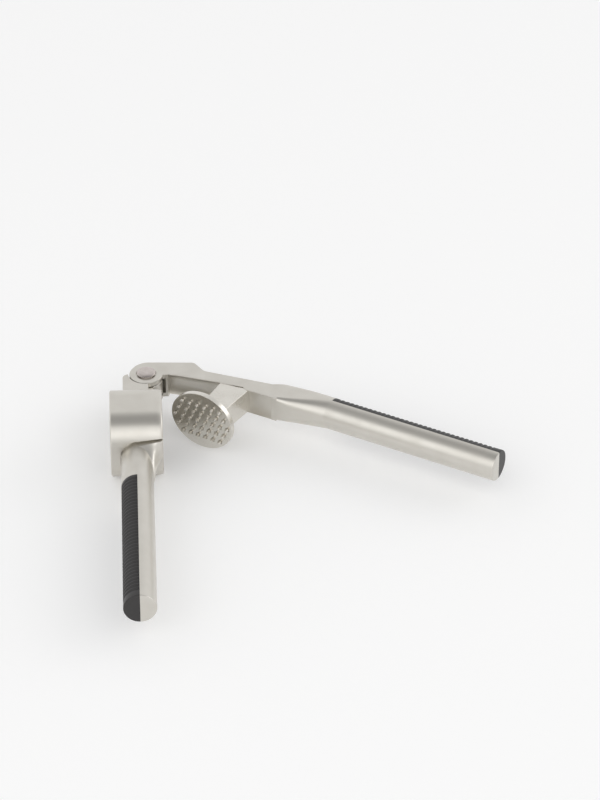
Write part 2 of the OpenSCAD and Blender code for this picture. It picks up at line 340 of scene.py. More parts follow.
def turned(profile: Sequence[Point], steps: int = 96) -> Solid:
    """Turns a profile of radius and height about Z, as on a lathe.

    Args:
        profile: Points as (radius, height); it starts and ends on the axis, or closes.
        steps: Segments round the axis.

    Returns:
        The closed turned solid.
    """
    bm = bmesh.new()
    verts = [bm.verts.new((r, 0, z)) for r, z in profile]
    ends_on_axis = profile[0][0] == 0 and profile[-1][0] == 0
    pairs = list(zip(verts, verts[1:])) + ([] if ends_on_axis else [(verts[-1], verts[0])])
    edges = [bm.edges.new(pair) for pair in pairs]
    full = {"angle": 2 * math.pi, "steps": steps, "use_merge": True}
    bmesh.ops.spin(bm, geom=verts + edges, cent=(0, 0, 0), axis=(0, 0, 1), **full)
    bmesh.ops.remove_doubles(bm, verts=bm.verts, dist=1e-4)
    bmesh.ops.recalc_face_normals(bm, faces=bm.faces)
    return bm


def moved(bm: Solid, matrix: Matrix) -> Solid:
    """Places a solid by a matrix, and returns it."""
    bmesh.ops.transform(bm, matrix=matrix, verts=bm.verts)
    return bm


def to_object(bm: Solid, name: str) -> Piece:
    """Turns a bmesh into an object in the scene, and frees the bmesh."""
    mesh = bpy.data.meshes.new(name)
    bm.to_mesh(mesh)
    bm.free()
    obj = bpy.data.objects.new(name, mesh)
    bpy.context.scene.collection.objects.link(obj)
    return obj


def taken(obj: Piece) -> Solid:
    """Takes an object's mesh as a solid, and removes the object."""
    bm = bmesh.new()
    bm.from_mesh(obj.data)
    spent = obj.data
    bpy.data.objects.remove(obj)
    bpy.data.meshes.remove(spent)
    return bm


def worked(base: Piece, tool: Solid, how: Work) -> None:
    """Cuts or joins a solid with another, and keeps only the result.

    Args:
        base: The object that is worked on, and gets the new mesh.
        tool: The solid that works on it; it is used up.
        how: What is done.
    """
    cutter = to_object(tool, "tool")
    step = base.modifiers.new("work", "BOOLEAN")
    step.operation, step.solver, step.object = how.value, "EXACT", cutter
    bpy.context.view_layer.update()
    graph = bpy.context.evaluated_depsgraph_get()
    mesh = bpy.data.meshes.new_from_object(base.evaluated_get(graph))
    base.modifiers.clear()
    old, base.data = base.data, mesh
    bpy.data.meshes.remove(old)
    taken(cutter).free()


def combined(solids: Sequence[Solid]) -> Solid:
    """Gathers separate closed solids into one bmesh."""
    whole = bmesh.new()
    for solid in solids:
        mesh = bpy.data.meshes.new("part")
        solid.to_mesh(mesh)
        solid.free()
        whole.from_mesh(mesh)
        bpy.data.meshes.remove(mesh)
    return whole


def placed(obj: Piece, place: Matrix, crease: float = 32) -> Piece:
    """Puts a finished piece's mesh in the model's frame and sets its shading.

    Args:
        obj: A piece whose mesh is in millimetres, in its working frame.
        place: The working frame, in millimetres.
        crease: Angle in degrees above which an edge stays sharp.

    Returns:
        The same object, at the origin, with its place in its mesh.
    """
    mesh = obj.data
    mesh.transform(Matrix.Diagonal((MM, MM, MM, 1)) @ place)
    mesh.name = obj.name
    for polygon in mesh.polygons:
        polygon.use_smooth = True
    mesh.set_sharp_from_angle(angle=math.radians(crease))
    flat = obj.modifiers.new("even_faces", "WEIGHTED_NORMAL")
    flat.mode, flat.weight, flat.keep_sharp = "FACE_AREA", 100, True
    return obj


def entered(obj: Piece, body: Body, node: str, finish: Finish) -> None:
    """Dresses a piece and enters it in the model.

    Args:
        obj: The finished piece.
        body: The body that it rides on.
        node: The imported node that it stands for.
        finish: What it is made of.
    """
    obj.data.materials.clear()
    obj.data.materials.append(finish.material())
    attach(obj, body.value)
    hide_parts(node)
    LOG.info("%s: %d faces, stands for %s", obj.name, len(obj.data.polygons), node)


# ---- finishes


def linear(hex_colour: str) -> tuple[float, float, float, float]:
    """Turns an sRGB hex colour into linear red, green, blue and alpha."""
    parts = [int(hex_colour[i : i + 2], 16) / 255 for i in (0, 2, 4)]
    red, green, blue = (
        c / 12.92 if c <= 0.04045 else ((c + 0.055) / 1.055) ** 2.4 for c in parts
    )
    return red, green, blue, 1.0


def per_metre(size_mm: float) -> float:
    """Scale of a pattern on Object coordinates whose features are size_mm wide."""
    return 1 / (size_mm * MM)


def add_node(
    tree: Tree,
    kind: str,
    settings: dict[str, object] | None = None,
    inputs: dict[str | int, object] | None = None,
) -> Node:
    """Adds a node with its settings and its inputs.

    Args:
        tree: The node tree.
        kind: The node's type.
        settings: Properties to set on it.
        inputs: Values or output sockets for its inputs, by name or number.

    Returns:
        The node.
    """
    made = tree.nodes.new(kind)
    for name, value in (settings or {}).items():
        setattr(made, name, value)
    for key, value in (inputs or {}).items():
        if isinstance(value, Socket):
            tree.links.new(value, made.inputs[key])
        else:
            made.inputs[key].default_value = value
    return made


@dataclass(frozen=True)
class Finish:
    """What a piece is made of: two close colours, a gloss and a fine relief."""

    name: str
    light: str
    dark: str
    roughness: float

    def material(self) -> bpy.types.Material:
        """Returns the material, made the first time that it is asked for."""
        known = bpy.data.materials.get(self.name)
        if known is not None:
            return known
        made = bpy.data.materials.new(self.name)
        made.use_nodes = True
        tree = made.node_tree
        tree.nodes.clear()
        shader = add_node(tree, "ShaderNodeBsdfPrincipled")
        shader.inputs["Roughness"].default_value = self.roughness
        add_node(tree, "ShaderNodeOutputMaterial", inputs={"Surface": shader.outputs["BSDF"]})
        self.wire(tree, shader, add_node(tree, "ShaderNodeTexCoord").outputs["Object"])
        return made

    def wire(self, tree: Tree, shader: Node, place: Socket) -> None:
        """Sets the shader and joins its patterns to it."""
        raise NotImplementedError

    def coat(
        self, tree: Tree, shader: Node, share: Socket, relief: Socket, depth_mm: float, strength: float
    ) -> None:
        """Joins what every finish has: its colours, mixed by a pattern, and its relief.

        Args:
            tree: The material's nodes.
            shader: Its shader.
            share: Pattern that goes from the dark colour to the light one.
            relief: Pattern of the relief's height.
            depth_mm: Depth of the relief.
            strength: How much of the relief the light picks up.
        """
        colours = {0: share, 6: linear(self.dark), 7: linear(self.light)}
        colour = add_node(tree, "ShaderNodeMix", {"data_type": "RGBA"}, colours)
        heights = {"Strength": strength, "Distance": depth_mm * MM, "Height": relief}
        bump = add_node(tree, "ShaderNodeBump", inputs=heights)
        tree.links.new(colour.outputs[2], shader.inputs["Base Color"])
        tree.links.new(bump.outputs["Normal"], shader.inputs["Normal"])


@dataclass(frozen=True)
class BlastedNickel(Finish):
    """Zinc die casting, bead blasted and nickel plated.

    The glass beads leave pits of about 0.1 mm, so light spreads into a soft satin sheen,
    warm grey from the nickel. The blast is a little uneven from place to place.
    """

    name: str = "bead_blasted_nickel"
    light: str = "D8D5CE"
    dark: str = "CECAC2"
    roughness: float = 0.33
    spread: float = 0.035
    pit_mm: float = 0.32  # drawn three times as coarse as it is, or it would not show
    pit_depth_mm: float = 0.004
    cloud_mm: float = 9.0

    def wire(self, tree: Tree, shader: Node, place: Socket) -> None:
        """Joins the blasted grain and its slow changes."""
        cloud, pits = (
            add_node(
                tree,
                "ShaderNodeTexNoise",
                inputs={"Vector": place, "Scale": per_metre(size), "Detail": detail},
            ).outputs["Fac"]
            for size, detail in ((self.cloud_mm, 3.0), (self.pit_mm, 2.0))
        )
        gloss = {
            "Value": cloud,
            "From Min": 0.3,
            "From Max": 0.7,
            "To Min": self.roughness + self.spread,
            "To Max": self.roughness - self.spread,
        }
        rough = add_node(tree, "ShaderNodeMapRange", inputs=gloss)
        tree.links.new(rough.outputs["Result"], shader.inputs["Roughness"])
        self.coat(tree, shader, cloud, pits, self.pit_depth_mm, 0.35)
        shader.inputs["Metallic"].default_value = 1.0


@dataclass(frozen=True)
class TurnedSteel(Finish):
    """Stainless steel turned on a lathe: fine rings about its axis stretch the highlights."""

    name: str = "turned_stainless_steel"
    light: str = "D2CAC6"
    dark: str = "BDB4B0"
    roughness: float = 0.26
    ring_mm: float = 2.83  # real tool marks are near 0.1 mm; only broad waves of them would show
    ring_depth_mm: float = 0.003
    cloud_mm: float = 2.5
    centre_mm: Corner = (0.0, 0.0, 0.0)

    def wire(self, tree: Tree, shader: Node, place: Socket) -> None:
        """Joins the rings of the lathe tool."""
        shift = {"Vector": place, "Location": [-c * MM for c in self.centre_mm]}
        centred = add_node(tree, "ShaderNodeMapping", inputs=shift)
        wave = {
            "Vector": centred.outputs["Vector"],
            "Scale": per_metre(self.ring_mm) * math.tau / 20,  # the node turns 20 radians a unit
            "Distortion": 0.4,
            "Detail": 1.0,
        }
        kind = {"wave_type": "RINGS", "rings_direction": "Z"}
        rings = add_node(tree, "ShaderNodeTexWave", kind, wave)
        drift = {"Vector": place, "Scale": per_metre(self.cloud_mm)}
        cloud = add_node(tree, "ShaderNodeTexNoise", inputs=drift)
        self.coat(tree, shader, cloud.outputs["Fac"], rings.outputs["Fac"], self.ring_depth_mm, 0.3)
        shader.inputs["Metallic"].default_value = 1.0


@dataclass(frozen=True)
class MouldedRubber(Finish):
    """Thermoplastic rubber, moulded in a spark-eroded tool: a dull, fine-grained black."""

    name: str = "moulded_rubber"
    light: str = "312F2F"
    dark: str = "242222"
    roughness: float = 0.42
    grain_mm: float = 0.5  # the real grain is near 0.2 mm, too fine to show
    grain_depth_mm: float = 0.015
    bloom_mm: float = 12.0

    def wire(self, tree: Tree, shader: Node, place: Socket) -> None:
        """Joins the grain of the mould and the rubber's slight bloom."""
        fine = {"Vector": place, "Scale": per_metre(self.grain_mm), "Detail": 3.0}
        grain = add_node(tree, "ShaderNodeTexNoise", inputs=fine)
        broad = {"Vector": place, "Scale": per_metre(self.bloom_mm)}
        bloom = add_node(tree, "ShaderNodeTexNoise", inputs=broad)
        self.coat(tree, shader, bloom.outputs["Fac"], grain.outputs["Fac"], self.grain_depth_mm, 0.5)
        shader.inputs["IOR"].default_value = 1.5


@dataclass(frozen=True)
class RolledMetal(Finish):
    """Plain metal with the straight grain of rolling or drawing."""

    name: str = "rolled_stainless_steel"
    light: str = "CFCDC9"
    dark: str = "B9B6B1"
    roughness: float = 0.3
    grain_mm: float = 0.35
    grain_depth_mm: float = 0.003
    stretch: float = 0.05

    def wire(self, tree: Tree, shader: Node, place: Socket) -> None:
        """Joins the drawn-out grain."""
        drawn = {"Vector": place, "Scale": (self.stretch, 1.0, 1.0)}
        stretched = add_node(tree, "ShaderNodeMapping", inputs=drawn).outputs["Vector"]
        fine = {"Vector": stretched, "Scale": per_metre(self.grain_mm), "Detail": 3.0}
        grain = add_node(tree, "ShaderNodeTexNoise", inputs=fine).outputs["Fac"]
        self.coat(tree, shader, grain, grain, self.grain_depth_mm, 0.3)
        shader.inputs["Metallic"].default_value = 1.0


# ---- the pieces


@dataclass(frozen=True)
class Joint:
    """Where the rivet stands, and the frames that turn about it."""

    place: Vector
    open_angle: float = 58.7
    foot_tilt: float = 2.1

    def chamber_frame(self) -> Matrix:
        """Frame of the chamber arm: its handle runs along X at mid height."""
        return Matrix.Translation((0, 0, self.place.z))

    def rivet_frame(self) -> Matrix:
        """Frame of the rivet, unturned."""
        return Matrix.Translation(self.place)

    def arm_frame(self) -> Matrix:
        """Frame of the plunger arm, with X along its handle."""
        return self.rivet_frame() @ Matrix.Rotation(math.radians(self.open_angle), 4, "Z")

    def foot_frame(self) -> Matrix:
        """Frame of the foot, with X along it and -Y out of its face."""
        turn = math.radians(self.open_angle - self.foot_tilt)
        return self.rivet_frame() @ Matrix.Rotation(turn, 4, "Z")


@dataclass
class ChamberArm:
    """Chamber, neck, web and metal half of the handle, cast in one piece."""

    joint: Joint
    tube_l: float = 40.9
    tube_h: float = 36.5
    tube_depth: float = 26.0
    corner_r: float = 13.6
    mouth_round: Point = (3.6, 1.15)
    outlet_round: Point = (0.8, 0.7)
    chamber_l: float = 37.4
    chamber_h: float = 32.0
    sieve_back: float = -10.1
    ledge_w: float = 1.3
    handle_r: float = 7.95
    reach: float = 140.2
    chamfer: float = 0.6
    grip_start: float = 45.65
    neck_w: float = 13.0
    thickness: float = 13.8
    tongue_t: float = 8.0
    tongue_r: float = 8.6
    hollow_r: float = 9.1
    bore_r: float = 3.65
    neck_end: float = 0.3
    neck_r: float = 3.0
    arch_depth: float = 1.2
    arch_left: float = -8.35
    arch_top: float = 9.6
    arch_r: float = 6.6
    web_edge: tuple[Point, ...] = (
        *((2.0, 50.0), (5.2, 48.0), (7.0, 45.0), (8.0, 42.0), (9.0, 36.0)),
        *((9.8, 31.5), (10.5, 28.0), (11.3, 24.8), (12.1, 22.2), (12.7, 20.9)),
    )
    web_start: float = 0.8
    web_crest: float = 7.9
    web_lip: float = 0.5
    ring_points: int = 176
    bar_points: int = 96

    def tube_ring(self, y: float, inset: float) -> Ring:
        """Ring of the tube's outside at y, drawn in by inset."""
        half_l, half_h = self.tube_l / 2 - inset, self.tube_h / 2 - inset
        ring = []
        for i in range(self.ring_points):
            a = 2 * math.pi * i / self.ring_points
            reach = box_reach(a, half_l, half_h, self.corner_r - inset)
            ring.append(Vector((reach * math.cos(a), y, reach * math.sin(a))))
        return ring

    def oval_ring(self, y: float, inset: float) -> Ring:
        """Ring of the oval chamber at y, drawn in by inset."""
        half_l, half_h = self.chamber_l / 2 - inset, self.chamber_h / 2 - inset
        ring = []
        for i in range(self.ring_points):
            a = 2 * math.pi * i / self.ring_points
            reach = 1 / math.hypot(math.cos(a) / half_l, math.sin(a) / half_h)
            ring.append(Vector((reach * math.cos(a), y, reach * math.sin(a))))
        return ring

    def tube(self) -> Solid:
        """Tube with a soft mouth, a crisper outlet and the sieve's ledge inside."""
        half = self.tube_depth / 2
        rings = []
        for (depth, inset), side in ((self.outlet_round, -1), (self.mouth_round, 1)):
            steps = [math.radians(90 * i / 8) for i in range(9)]
            for a in reversed(steps) if side < 0 else steps:
                y = side * (half - depth * (1 - math.sin(a)))
                rings.append(self.tube_ring(y, inset * (1 - math.cos(a))))
        ledge = self.ledge_w
        mouth = [(half, -0.25), (half - 0.07, -0.07), (half - 0.25, 0.0), (self.sieve_back, 0.0)]
        outlet = [(self.sieve_back, ledge), (0.2 - half, ledge), (-half, ledge - 0.2)]
        rings += [self.oval_ring(y, inset) for y, inset in mouth + outlet]
        return loft(rings, hollow=True)

    def arch_outline(self) -> list[Point]:
        """Outline of the handle's root on the tube's front, in Y and Z."""
        left, top, r = self.arch_left, self.arch_top, self.arch_r
        right = self.tube_depth / 2 + 3
        return rounded_outline([(left, -top, r), (right, -top, 0), (right, top, 0), (left, top, r)])

    def arch_recess(self) -> Solid:
        """Cutter that sinks the handle's root a little into the tube's front."""
        outline, front = self.arch_outline(), self.tube_l / 2
        whole = loft([[Vector((x, y, z)) for y, z in outline] for x in (front - 5, front + 2)])
        cutter = to_object(whole, "recess")
        half = self.tube_depth / 2 + 6
        core = loft([self.tube_ring(y, self.arch_depth) for y in (-half, half)])
        worked(cutter, core, Work.CUT)
        return taken(cutter)

    def stem(self) -> Solid:
        """Handle's round bar, from inside the tube's front wall to its chamfered end."""
        root, step = self.tube_l / 2 - 2.4, 1.5
        count = int((self.grip_start + 3 - root) / step)
        stations = [(root + step * i, self.handle_r) for i in range(count)]
        stations += eased_end(self.reach, self.handle_r, self.chamfer)
        around = self.bar_points - 1
        last = 360 * around / self.bar_points
        return loft(
            [[Vector((x, y, z)) for y, z in arc((0, 0), r, 0, last, around)] for x, r in stations]
        )

    def web(self) -> Solid:
        """Web in the corner between the tube and the handle's inner side.

        Its two faces are hollowed: each falls from a shelf at the tube to a thin lip.
        """
        inside, front = self.tube_l / 2 - 2, self.tube_l / 2 - 1.25
        start, lip, layers, columns = self.web_start, self.web_lip, 30, 24
        rings = []
        for i in range(layers + 1):
            y = start + (self.tube_depth / 2 - 0.25 - start) * math.sin(math.radians(90 * i / layers))
            end = through(self.web_edge, y)
            crest = self.web_crest + 0.09 * y
            shelf = front + min(3.2 - 0.2 * (y - 3), 0.4 * (end - front))
            upper = [(inside, crest), (front, crest), (shelf, crest)]
            for k in range(1, columns + 1):
                share = k / columns
                fall = (1 - share) ** 2.4
                upper.append((shelf + (end - shelf) * share, lip + (crest - lip) * fall))
            ring = upper + [(x, -z) for x, z in reversed(upper)]
            rings.append([Vector((x, y, z)) for x, z in ring])
        return loft(rings)

    def neck(self) -> tuple[Solid, Solid]:
        """Full-height neck and the thinner tongue, about the rivet."""
        side = self.joint.place.y
        root = -self.joint.place.x - self.tube_l / 2 + 1
        near, far = -side - self.neck_w / 2, self.neck_w / 2 - side
        corners = [(root, near, 0), (root, far, 0), (-1, far, 0), (self.neck_end, near, self.neck_r)]
        full = prism(rounded_outline(corners), -self.thickness / 2, self.thickness / 2)
        eye = [(root, 2.5)] + arc((0, 0), self.tongue_r, 24, 265, 60)
        eye += [(0.0, near + self.neck_r), (root, near)]
        return full, prism(eye, -self.tongue_t / 2, self.tongue_t / 2, 0.5)

    def build(self) -> Piece:
        """Joins the casting's solids, cuts its bore and places it."""
        arm = to_object(self.tube(), "chamber_casting")
        worked(arm, self.arch_recess(), Work.CUT)
        bar = to_object(self.stem(), "stem")
        worked(bar, self.web(), Work.JOIN)
        wide = 2 * self.handle_r
        cheek = block((self.grip_start, -wide, -wide), (self.reach + 5, 0, wide))
        worked(bar, cheek, Work.CUT)
        full, tongue = self.neck()
        to_rivet = Matrix.Translation((self.joint.place.x, self.joint.place.y, 0))
        neck = to_object(moved(full, to_rivet), "neck")
        long = 2 * self.thickness
        worked(neck, moved(rod(self.hollow_r, -long, long, 128), to_rivet), Work.CUT)
        worked(neck, moved(tongue, to_rivet), Work.JOIN)
        for part in (bar, neck):
            worked(arm, taken(part), Work.JOIN)
        worked(arm, moved(rod(self.bore_r, -long, long, 64), to_rivet), Work.CUT)
        return placed(arm, self.joint.chamber_frame())

    def dress(self, casting: Finish, rubber: Finish) -> None:
        """Enters the casting and the grip on its handle."""
        entered(self.build(), Body.CHAMBER, "chamber_arm", casting)
        frame = self.joint.chamber_frame()
        grip = RibbedGrip("chamber_handle_grip", frame, self.grip_start, self.reach, 0, Half.INNER)
        grip.dress(Body.CHAMBER, "chamber_grip", rubber)


@dataclass
class RibbedGrip:
    """Rubber half of a round handle, with ribs across it like a screw thread."""

    name: str
    place: Matrix
    start: float
    end: float
    centre: float
    half: Half
    radius: float = 7.95
    chamfer: float = 0.6
    pitch: float = 2.55
    groove: float = 0.75
    plain_start: float = 1.6
    plain_end: float = 3.2
    seam: float = 0.04
    rib: tuple[Point, ...] = (
        *((0, 0), (0.06, 0.08), (0.34, 0.85), (0.42, 1), (0.62, 1), (0.68, 0.85), (0.76, 0.1)),
    )

    def ring(self, x: float, radius: float) -> Ring:
        """D-shaped ring across the grip at x."""
        turn = 180 if self.half is Half.INNER else 0
        gap = self.half.value * self.seam
        half_round = arc((0, 0), radius, turn - 90, turn + 90, 40)
        return [Vector((x, self.centre + y + gap, z)) for y, z in half_round]

    def build(self) -> Piece:
        """Lofts the ribs, each a share of the pitch and of the groove's depth, and places the grip."""
        r = self.radius
        stations = [(self.start + 0.02, r - 0.15), (self.start + 0.17, r)]
        room = self.end - self.plain_end - self.start - self.plain_start
        count = int(room / self.pitch)
        x = self.start + self.plain_start
        for _ in range(count):
            stations += [(x + share * self.pitch, r - depth * self.groove) for share, depth in self.rib]
            x += self.pitch
        stations += eased_end(self.end, r, self.chamfer)
        grip = to_object(loft([self.ring(x, radius) for x, radius in stations]), self.name)
        return placed(grip, self.place, 50)

    def dress(self, body: Body, node: str, rubber: Finish) -> None:
        """Enters the grip on its arm, in rubber."""
        entered(self.build(), body, node, rubber)


@dataclass
class PlungerArm:
    """Two ears, the coved bar and the metal half of its handle, cast in one piece."""

    joint: Joint
    thickness: float = 13.8
    ear_r: float = 8.5
    slot_h: float = 8.9
    slot_r: float = 9.8
    slot_turn: float = -60.0
    bore_r: float = 2.5
    head_seat_r: float = 5.2
    head_seat: float = 0.9
    front: float = 11.7
    back: float = 25.2
    root: float = 66.5
    handle_y: float = 22.5
    handle_r: float = 7.95
    handle_from: float = 65.95
    round_from: float = 94.2
    flat: float = 0.03
    grip_start: float = 94.7
    reach: float = 187.4
    chamfer: float = 0.6
    first_cove: tuple[float, ...] = (10.0, 5.1, 12.5, 9.25, 1.35, 5.05, 40.0)
    second_cove: tuple[float, ...] = (50.0, 11.44, 0.8, 16.0, 0.5, 14.2, 15.9)

    def outline(self) -> list[Point]:
        """Outline of the ears and the bar, seen from above."""
        r, front, back, end = self.ear_r, self.front, self.back, self.root + 2
        inner = [(r - 0.6, 3.1, 0), (r + 0.4, 4, 0.8), (14, 6, 8), (36, front - 0.8, 20)]
        inner += [(49.5, front + 0.7, 2), (52, front - 0.2, 2), (end, front, 0)]
        outer = [(end, back - 2, 0), (60, back - 3, 12), (24.4, 16.1, 5), (16.5, 20.2, 3)]
        outer += [(-r, 6.9, 9), (-r, 0.3, 0)]
        return arc((0, 0), r, 180, 381, 60) + rounded_outline(inner + outer)[1:]

    def cove(self, sizes: tuple[float, ...]) -> Solid:
        """Round cutter that hollows the bar's inner side."""
        x, y, slope, radius, drop, offset, length = sizes
        return moved(
            rod(radius, 0, length, 192),
            Matrix.Translation((x, y, -drop))
            @ Matrix.Rotation(math.radians(slope), 4, "Z")
            @ Matrix.Translation((0, -offset, 0))
            @ Matrix.Rotation(math.radians(90), 4, "Y"),
        )

    def rise(self) -> Solid:
        """Swelling along the bar's back where it grows to the handle's width."""
        backs = [(57, 21.2), (60, 22.4), (63, 24.8), (66.5, 27.5), (70, 28.0)]
        rounds = [(57, 0.6), (62, 1.5), (66.5, 3.8), (70, 4.0)]
        front, near, half = 15, 0.5, self.thickness / 2
        rings = []
        for x in range(57, 71):
            back, far = through(backs, x), through(rounds, x)
            rings.append(rounded_box_ring(x, front, back, half, near, far))
        return loft(rings)

    def handle(self) -> Solid:
        """Handle that starts flat-sided at its root and turns round."""
        turn, middle, r = self.round_from, self.handle_y, self.handle_r
        sides = (
            [(66, self.front), (72, 11.85), (80, 12.75), (88, 13.85), (turn, middle - r)],
            [(66, 27.3), (70, 28.05), (78, 29.1), (88, 30.1), (turn, middle + r)],
            [(66, 6.9), (75, 7.15), (86, 7.7), (turn, r)],
            [(66, 1.0), (70, 2.4), (78, 4.6), (88, 6.8), (turn, r - self.flat)],
            [(66, 3.8), (78, 5.2), (88, 7.0), (turn, r - self.flat)],
        )
        start, steps = self.handle_from, 40
        rings = []
        for x, inset in ((65.6, 0.3), (65.7, 0.12), (start, 0.0)):
            low, high, half, near, far = (through(side, x) for side in sides)
            near, far = near - inset / 2, far - inset / 2
            rings.append(rounded_box_ring(x, low + inset, high - inset, half - inset, near, far))
        for i in range(1, steps + 1):
            x = start + (turn - start) * i / steps
            rings.append(rounded_box_ring(x, *(through(side, x) for side in sides)))
        for x, r in eased_end(self.reach, r, self.chamfer):
            near = r - self.flat
            rings.append(rounded_box_ring(x, middle - r, middle + r, r, near, near))
        return loft(rings)

    def build(self) -> Piece:
        """Cuts the fork, coves and seats, joins the handle and places the arm."""
        half, long = self.thickness / 2, 2 * self.thickness
        arm = to_object(prism(self.outline(), -half, half), "plunger_casting")
        for sizes in (self.first_cove, self.second_cove):
            worked(arm, self.cove(sizes), Work.CUT)
        slot = self.slot_h / 2
        worked(arm, rod(self.slot_r, -slot, slot, 128), Work.CUT)
        corner = block((0, -self.slot_r, -slot), (2 * self.slot_r, self.slot_r, slot))
        turn = Matrix.Rotation(math.radians(self.slot_turn), 4, "Z")
        worked(arm, moved(corner, turn), Work.CUT)
        worked(arm, self.rise(), Work.JOIN)
        bar = to_object(self.handle(), "bar")
        wide = 2 * self.handle_r
        y = self.handle_y
        cheek = block((self.grip_start, y, -wide), (self.reach + 5, y + wide, wide))
        worked(bar, cheek, Work.CUT)
        worked(arm, taken(bar), Work.JOIN)
        worked(arm, rod(self.bore_r, -long, long, 48), Work.CUT)
        for low, high in ((half - self.head_seat, long), (-long, self.head_seat - half)):
            worked(arm, rod(self.head_seat_r, low, high, 96), Work.CUT)
        return placed(arm, self.joint.arm_frame())

    def dress(self, casting: Finish, rubber: Finish) -> None:
        """Enters the casting and the grip on its handle."""
        entered(self.build(), Body.PLUNGER, "plunger_arm", casting)
        sizes = (self.grip_start, self.reach, self.handle_y, Half.OUTER)
        grip = RibbedGrip("plunger_handle_grip", self.joint.arm_frame(), *sizes)
        grip.dress(Body.PLUNGER, "plunger_grip", rubber)


@dataclass
class Plunger:
    """Block, oval foot and its pins, cast in one piece."""

    joint: Joint
    foot_l: float = 35.1
    foot_h: float = 31.2
    foot_reach: float = 40.75
    face_y: float = -12.7
    foot_t: float = 3.0
    face_rim: float = 0.15
    back_rim: float = 0.5
    block_l: float = 16.1
    block_tip_l: float = 13.0
    block_shift: float = 3.3
    block_half: float = 6.6
    block_far: float = 17.0
    pin_edge: float = 2.3
    pin_pitch: float = 4.3
    row_pitch: float = 4.5
    pin_r: float = 0.95
    pin_tip_r: float = 0.7
    pin_h: float = 2.0
    moat_w: float = 0.4
    moat_depth: float = 0.4

    def pin_places(self) -> list[Point]:
        """Where the pins stand: along the foot and up it, in staggered rows."""
        half_l, half_h = self.foot_l / 2 - self.pin_edge, self.foot_h / 2 - self.pin_edge
        rows, most = int(half_h / self.row_pitch), math.ceil(half_l / self.pin_pitch)
        places = []
        for row in range(-rows, rows + 1):
            for i in range(-most, most + 1):
                along = (i + (0.5 if row % 2 == 0 else 0)) * self.pin_pitch
                up = row * self.row_pitch
                if (along / half_l) ** 2 + (up / half_h) ** 2 <= 1:
                    places.append((along, up))
        return places

    def foot(self) -> Solid:
        """Oval plate with softly rounded edges."""
        back_y = self.face_y + self.foot_t
        rings = []
        steps = [math.radians(90 * i / 5) for i in range(6)]
        for edge, side, rim in ((self.face_y, 1, self.face_rim), (back_y, -1, self.back_rim)):
            for a in reversed(steps) if side > 0 else steps:
                y = edge + side * rim * (1 - math.sin(a))
                inset = rim * (1 - math.cos(a))
                half_l, half_h = self.foot_l / 2 - inset, self.foot_h / 2 - inset
                rings.append(oval_ring(self.foot_reach, y, half_l, half_h))
        return loft(rings)

    def on_face(self, solid: Solid, along: float, up: float) -> Solid:
        """Stands an upright solid on the foot's face."""
        return moved(solid, Matrix.Translation((self.foot_reach + along, self.face_y, up)) @ LYING)

    def moat(self) -> Solid:
        """Cutter for the shallow ring that a pin stands in."""
        return rod(self.pin_r + self.moat_w, -self.moat_depth, 1, 20)

    def pin(self) -> Solid:
        """One pin, with a rounded end."""
        r, tip, h = self.pin_r, self.pin_tip_r, self.pin_h
        root = -2 * self.moat_depth
        profile = [(0, root), (r, root), (r, 0), (tip + 0.04, h - 0.3), (tip - 0.06, h - 0.08)]
        return turned(profile + [(tip - 0.2, h), (0, h)], 20)

    def build(self) -> Piece:
        """Joins the block, the foot and the pins, and places them."""
        middle = self.foot_reach + self.block_shift
        back_y = self.face_y + self.foot_t
        tip, top = self.block_tip_l / 2, self.block_l / 2
        sunk = back_y - 0.6
        corners = [(middle - tip, sunk, 0.3), (middle + tip, sunk, 0.3)]
        corners += [(middle + top, self.block_far, 0.5), (middle - top, self.block_far, 0.5)]
        outline = rounded_outline(corners, 4)
        body = prism(outline, -self.block_half, self.block_half, 0.45)
        plunger = to_object(body, "plunger_foot")
        worked(plunger, self.foot(), Work.JOIN)
        for shape, how in ((self.moat, Work.CUT), (self.pin, Work.JOIN)):
            stood = combined([self.on_face(shape(), *place) for place in self.pin_places()])
            worked(plunger, stood, how)
        return placed(plunger, self.joint.foot_frame())

    def dress(self) -> None:
        """Enters the plunger in a lighter, smoother copy of the nickel. Pressed garlic wears its foot
        and pins smoother than the rest; the lighter colour is painted light that brightens them.
        """
        # the lighter base colour is painted light on the foot and pins; the lower roughness is real wear
        # from pressing
        worn_and_painted_light = BlastedNickel("worn_nickel_painted_light", "E2DFD8", "D4D0C8", 0.26, 0.03)
        entered(self.build(), Body.PLUNGER, "plunger", worn_and_painted_light)


